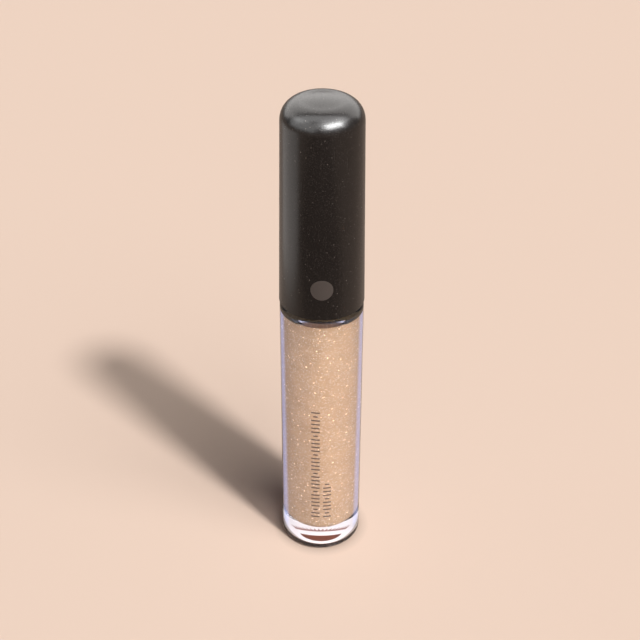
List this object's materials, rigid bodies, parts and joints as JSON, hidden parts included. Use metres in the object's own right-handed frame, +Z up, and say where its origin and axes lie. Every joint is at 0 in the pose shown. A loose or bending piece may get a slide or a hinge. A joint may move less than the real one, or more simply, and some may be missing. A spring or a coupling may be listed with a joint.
{
  "type": "lip gloss tube",
  "caption": "Slim round lip gloss tube: clear thick-walled vial of gloss, screw cap with a tapered side and rounded top, wand with a flocked tip and wiper insert",
  "frame": {"origin": "centre of the flat underside of the vial, on the surface it stands on", "axes": "+Z up along the tube from the vial to the cap, -Y to the printed front, +X to the right of the front"},
  "size_m": [0.0162, 0.0162, 0.0984],
  "materials": {
    "clear_wall": "clear thick-walled moulded copolyester, polished, faint lilac tint",
    "gloss": "pearly champagne peach gloss with very fine glitter",
    "wiper_plastic": "soft translucent white polyethylene",
    "label": "copper brown printed film, satin",
    "print_ink": "dark brown screen print",
    "liner_film": "thin solid polyethylene film",
    "liner_core": "white closed-cell polyethylene foam",
    "inner_plastic": "black moulded polypropylene",
    "cap_lacquer": "soft satin charcoal brown lacquer with fine metallic sparkle",
    "emblem_foil": "plain round dot in slightly lighter satin ink",
    "stem_plastic": "natural white moulded polypropylene",
    "core_plastic": "soft moulded tip core",
    "flock": "short nylon flock, stained by the gloss"
  },
  "bodies": {
    "bottle": {"vial": "clear_wall", "gloss_fill": "gloss", "wiper": "wiper_plastic", "base_label": "label", "vial_print": "print_ink"},
    "lift_ring": {"liner_face": "liner_film"},
    "rise_ring": {"liner_foam": "liner_core"},
    "cap": {"cap_shell": "cap_lacquer", "cap_emblem": "emblem_foil", "inner_cap": "inner_plastic", "wand_stem": "stem_plastic", "applicator_core": "core_plastic", "applicator_flock": "flock"}
  },
  "joints": [
    {"name": "cap_lift", "type": "slide", "parent": "bottle", "child": "lift_ring", "axis": [0, 0, 1], "range_m": [0, 0.07]},
    {"name": "cap_rise", "type": "slide", "parent": "lift_ring", "child": "rise_ring", "axis": [0, 0, 1], "range_m": [0, 0.00263]},
    {"name": "cap_turn", "type": "hinge", "parent": "rise_ring", "child": "cap", "pos_m": [0, 0, 0.06], "axis": [0, 0, 1], "range_deg": [0, 450.1]}
  ],
  "couplings": [
    {"joint": "cap_turn", "follows": "cap_rise", "rad_per_m": 2992}
  ]
}
